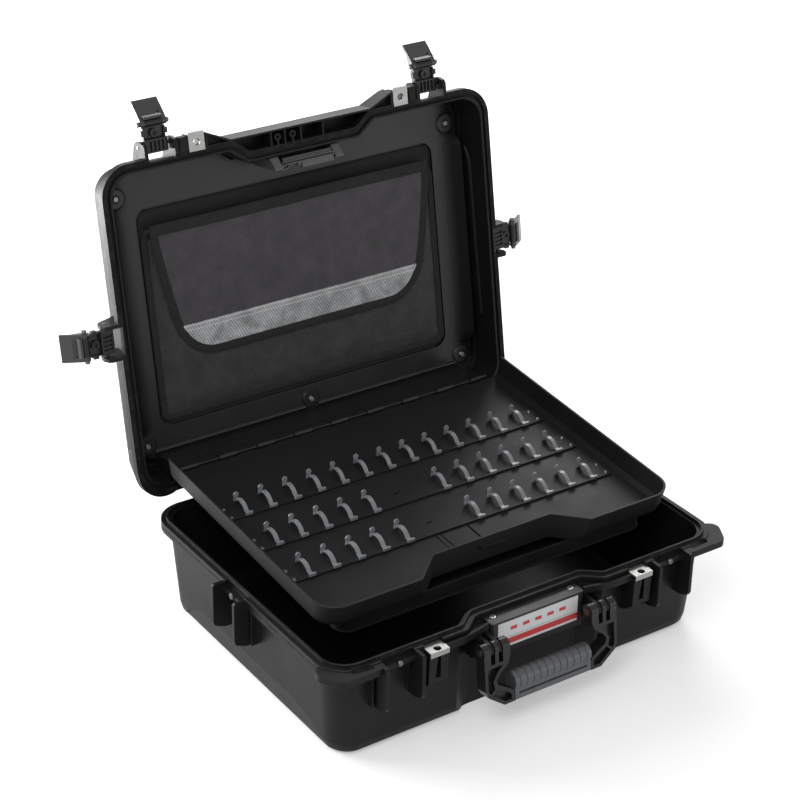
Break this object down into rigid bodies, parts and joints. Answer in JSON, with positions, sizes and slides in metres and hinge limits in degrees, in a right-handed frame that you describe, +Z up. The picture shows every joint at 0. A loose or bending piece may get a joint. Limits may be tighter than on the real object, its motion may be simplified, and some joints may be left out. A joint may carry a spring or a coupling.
{
  "type": "hard tool case",
  "caption": "Open hard tool case with a hinged lid, a pouch in the lid, a folding clip tray, draw latches, padlock eyes and a swinging handle",
  "frame": {"origin": "centre of the base's flat underside, on the floor", "axes": "+X to the right across the case's width, -Y out of the handle side, +Z up"},
  "size_m": [0.6642, 0.5801, 0.586],
  "materials": {
    "shell_black": "moulded, fine texture",
    "tray_black": "moulded, satin",
    "liner_black": "moulded, satin",
    "latch_black": "moulded, satin",
    "gasket_black": "soft seal",
    "grip_grey": "ribbed rubber",
    "clip_grey": "moulded grey",
    "steel_bright": "zinc plated",
    "steel_dark": "blackened",
    "label": "printed plate",
    "fabric_black": "woven nylon",
    "fabric_band": "reflective band",
    "catch_grey": "moulded grey"
  },
  "bodies": {
    "base": {"base_shell": "shell_black", "base_padlock_plates": "steel_bright", "catch_studs": "steel_dark", "handle_panel": "shell_black", "panel_screws": "steel_bright", "label_plate": "label", "hinge_pins": "steel_bright", "handle_pins": "steel_bright"},
    "handle": {"handle_frame": "shell_black", "handle_grip": "grip_grey"},
    "lid": {"lid_shell": "shell_black", "lid_gasket": "gasket_black", "lid_padlock_plates": "steel_bright", "latch_root_pins": "steel_dark", "lid_liner": "liner_black", "liner_washers": "liner_black", "liner_screws": "steel_bright", "pouch_back": "fabric_black", "pouch_front": "fabric_black", "pouch_binding": "fabric_black", "catch_bracket": "liner_black", "catch_pin": "steel_dark"},
    "hinge_rod": {"tray_hinge_rod": "steel_bright"},
    "flap": {"pouch_flap": "fabric_black", "flap_band": "fabric_band"},
    "catch": {"tray_catch": "catch_grey"},
    "tray": {"tray_shell": "tray_black", "tray_pan": "tray_black", "clip_strips": "tray_black", "strip_rivets": "steel_bright", "clips_rear": "clip_grey", "clips_middle": "clip_grey", "clips_front": "clip_grey"},
    "link_front_left": {"link_front_left": "latch_black", "pin_front_left": "steel_dark"},
    "lever_front_left": {"lever_front_left": "latch_black"},
    "link_front_right": {"link_front_right": "latch_black", "pin_front_right": "steel_dark"},
    "lever_front_right": {"lever_front_right": "latch_black"},
    "link_side_left": {"link_side_left": "latch_black", "pin_side_left": "steel_dark"},
    "lever_side_left": {"lever_side_left": "latch_black"},
    "link_side_right": {"link_side_right": "latch_black", "pin_side_right": "steel_dark"},
    "lever_side_right": {"lever_side_right": "latch_black"}
  },
  "joints": [
    {"name": "lid_hinge", "type": "hinge", "parent": "base", "child": "lid", "pos_m": [0, 0.2132, 0.1225], "axis": [-1, 0, 0], "range_deg": [-100, 0]},
    {"name": "tray_level", "type": "hinge", "parent": "lid", "child": "hinge_rod", "pos_m": [0, 0.20799, 0.16779], "axis": [1, 0, 0], "range_deg": [-104.2, 0]},
    {"name": "tray_lift", "type": "hinge", "parent": "hinge_rod", "child": "tray", "pos_m": [0, 0.20799, 0.16779], "axis": [-1, 0, 0], "range_deg": [0, 104.2]},
    {"name": "catch_press", "type": "hinge", "parent": "lid", "child": "catch", "pos_m": [0, 0.29963, 0.48886], "axis": [-1, 0, 0], "range_deg": [0, 8], "stiffness_Nm_per_rad": 0.3, "springref_deg": -5.73},
    {"name": "flap_lift", "type": "hinge", "parent": "lid", "child": "flap", "pos_m": [0, 0.31247, 0.44131], "axis": [-1, 0, 0], "range_deg": [0, 12]},
    {"name": "handle_swing", "type": "hinge", "parent": "base", "child": "handle", "pos_m": [0, -0.219, 0.105], "axis": [-1, 0, 0], "range_deg": [-7, 94]},
    {"name": "link_front_left_swing", "type": "hinge", "parent": "lid", "child": "link_front_left", "pos_m": [-0.188, 0.30937, 0.53832], "axis": [-1, 0, 0], "range_deg": [-90, 20]},
    {"name": "lever_front_left_turn", "type": "hinge", "parent": "link_front_left", "child": "lever_front_left", "pos_m": [-0.188, 0.31388, 0.56392], "axis": [-1, 0, 0], "range_deg": [-16, 60]},
    {"name": "link_front_right_swing", "type": "hinge", "parent": "lid", "child": "link_front_right", "pos_m": [0.188, 0.30937, 0.53832], "axis": [-1, 0, 0], "range_deg": [-90, 20]},
    {"name": "lever_front_right_turn", "type": "hinge", "parent": "link_front_right", "child": "lever_front_right", "pos_m": [0.188, 0.31388, 0.56392], "axis": [-1, 0, 0], "range_deg": [-16, 60]},
    {"name": "link_side_left_swing", "type": "hinge", "parent": "lid", "child": "link_side_left", "pos_m": [-0.281, 0.27186, 0.3256], "axis": [0, -0.1736, -0.9848], "range_deg": [-90, 20]},
    {"name": "lever_side_left_turn", "type": "hinge", "parent": "link_side_left", "child": "lever_side_left", "pos_m": [-0.307, 0.27186, 0.3256], "axis": [0, -0.1736, -0.9848], "range_deg": [-16, 60]},
    {"name": "link_side_right_swing", "type": "hinge", "parent": "lid", "child": "link_side_right", "pos_m": [0.281, 0.27186, 0.3256], "axis": [0, 0.1736, 0.9848], "range_deg": [-90, 20]},
    {"name": "lever_side_right_turn", "type": "hinge", "parent": "link_side_right", "child": "lever_side_right", "pos_m": [0.307, 0.27186, 0.3256], "axis": [0, 0.1736, 0.9848], "range_deg": [-16, 60]}
  ],
  "couplings": [
    {"joint": "tray_level", "follows": "lid_hinge", "ratio": 1.042}
  ]
}
